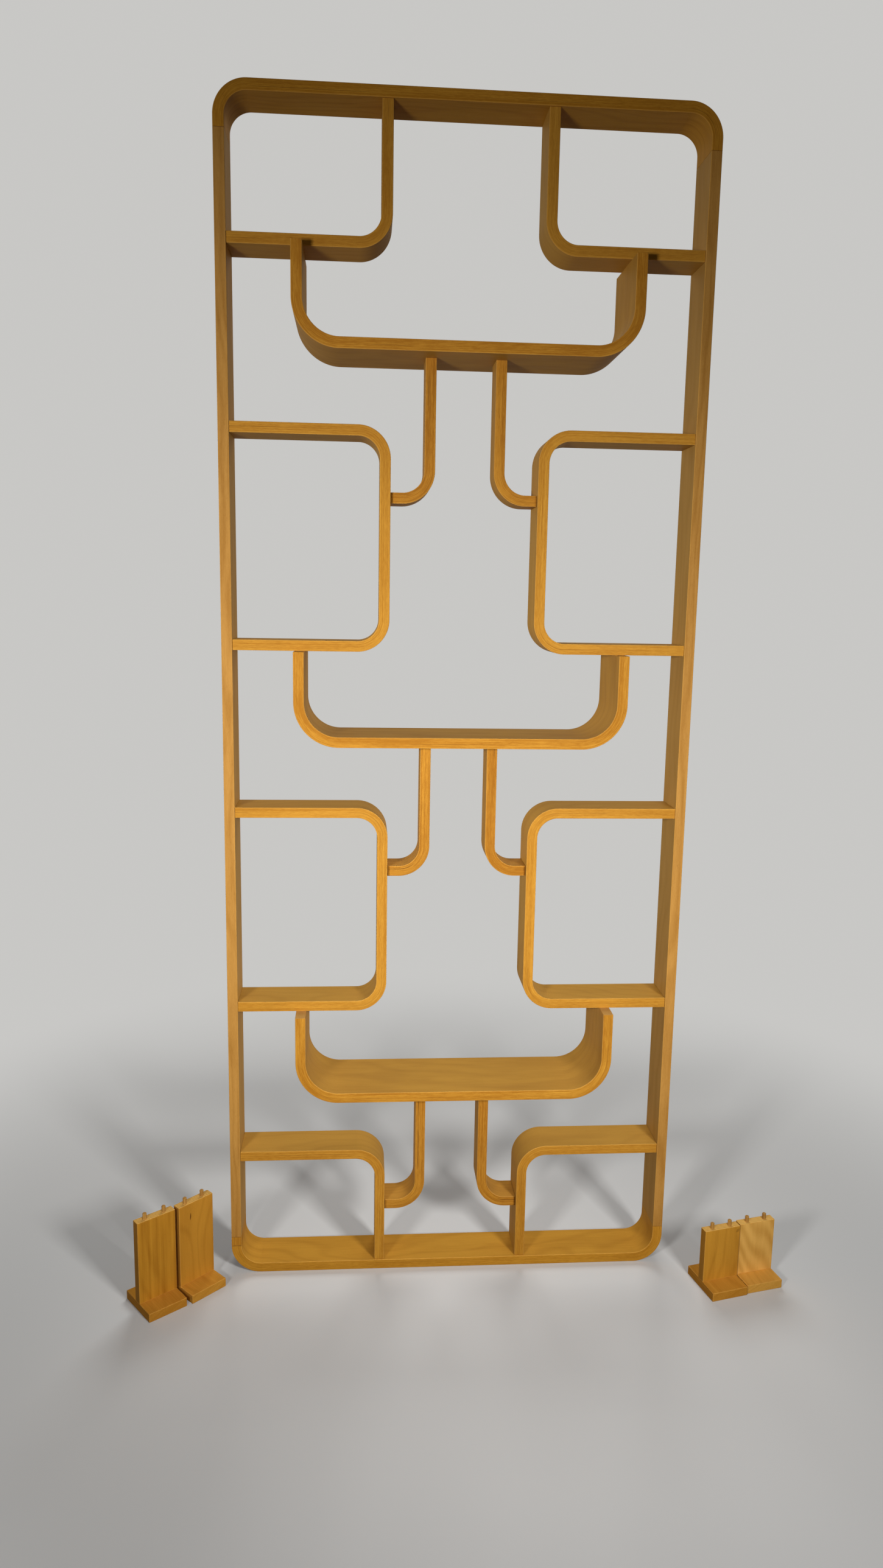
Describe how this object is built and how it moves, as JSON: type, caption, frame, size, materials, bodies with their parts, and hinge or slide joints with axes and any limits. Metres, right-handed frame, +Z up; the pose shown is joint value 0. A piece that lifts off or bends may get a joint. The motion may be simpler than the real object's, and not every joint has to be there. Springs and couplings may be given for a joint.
{
  "type": "room divider",
  "caption": "Open room divider of bent plywood: a tall round-cornered frame with bent brackets, hanging shelves and hooks, and loose plug-on feet beside it.",
  "frame": {"origin": "middle of the bottom rail's underside, where the frame stands on the floor", "axes": "+X to the right along the rails, +Y through the depth to the back, +Z up"},
  "size_m": [1.3216, 0.277, 2.256],
  "materials": {
    "bent_ply": "satin honey lacquer over bent plywood, ply lines on the edges",
    "straight_ply": "satin honey lacquer over straight plywood with lipped edges",
    "foot_wood": "satin lacquer, solid plate edges and plywood board tops",
    "dowel_wood": "bare round dowel"
  },
  "bodies": {
    "root": {"bottom_rail": "bent_ply", "top_rail": "bent_ply", "makeup_block": "straight_ply", "left_upright": "straight_ply", "right_upright": "straight_ply", "left_bottom_bracket": "bent_ply", "right_bottom_bracket": "bent_ply", "left_lower_bracket": "bent_ply", "right_lower_bracket": "bent_ply", "left_upper_bracket": "bent_ply", "right_upper_bracket": "bent_ply", "left_top_bracket": "bent_ply", "right_top_bracket": "bent_ply", "lower_shelf": "bent_ply", "middle_shelf": "bent_ply", "upper_shelf": "bent_ply", "left_lower_hook": "bent_ply", "right_lower_hook": "bent_ply", "left_middle_hook": "bent_ply", "right_middle_hook": "bent_ply", "left_upper_hook": "bent_ply", "right_upper_hook": "bent_ply", "left_bottom_corner_dowel_front": "dowel_wood", "left_bottom_corner_dowel_back": "dowel_wood", "right_bottom_corner_dowel_front": "dowel_wood", "right_bottom_corner_dowel_back": "dowel_wood", "left_top_corner_dowel_front": "dowel_wood", "left_top_corner_dowel_back": "dowel_wood", "right_top_corner_dowel_front": "dowel_wood", "right_top_corner_dowel_back": "dowel_wood", "left_lower_shelf_dowel_front": "dowel_wood", "left_lower_shelf_dowel_back": "dowel_wood", "right_lower_shelf_dowel_front": "dowel_wood", "right_lower_shelf_dowel_back": "dowel_wood", "left_middle_shelf_dowel_front": "dowel_wood", "left_middle_shelf_dowel_back": "dowel_wood", "right_middle_shelf_dowel_front": "dowel_wood", "right_middle_shelf_dowel_back": "dowel_wood", "left_upper_shelf_dowel_front": "dowel_wood", "left_upper_shelf_dowel_back": "dowel_wood", "right_upper_shelf_dowel_front": "dowel_wood", "right_upper_shelf_dowel_back": "dowel_wood", "tall_foot_inner_plate": "foot_wood", "tall_foot_inner_board": "foot_wood", "tall_foot_inner_plug_left": "dowel_wood", "tall_foot_inner_plug_right": "dowel_wood", "tall_foot_outer_plate": "foot_wood", "tall_foot_outer_board": "foot_wood", "tall_foot_outer_plug_left": "dowel_wood", "tall_foot_outer_plug_right": "dowel_wood", "short_foot_inner_plate": "foot_wood", "short_foot_inner_board": "foot_wood", "short_foot_inner_plug_left": "dowel_wood", "short_foot_inner_plug_right": "dowel_wood", "short_foot_outer_plate": "foot_wood", "short_foot_outer_board": "foot_wood", "short_foot_outer_plug_left": "dowel_wood", "short_foot_outer_plug_right": "dowel_wood"}
  },
  "joints": []
}
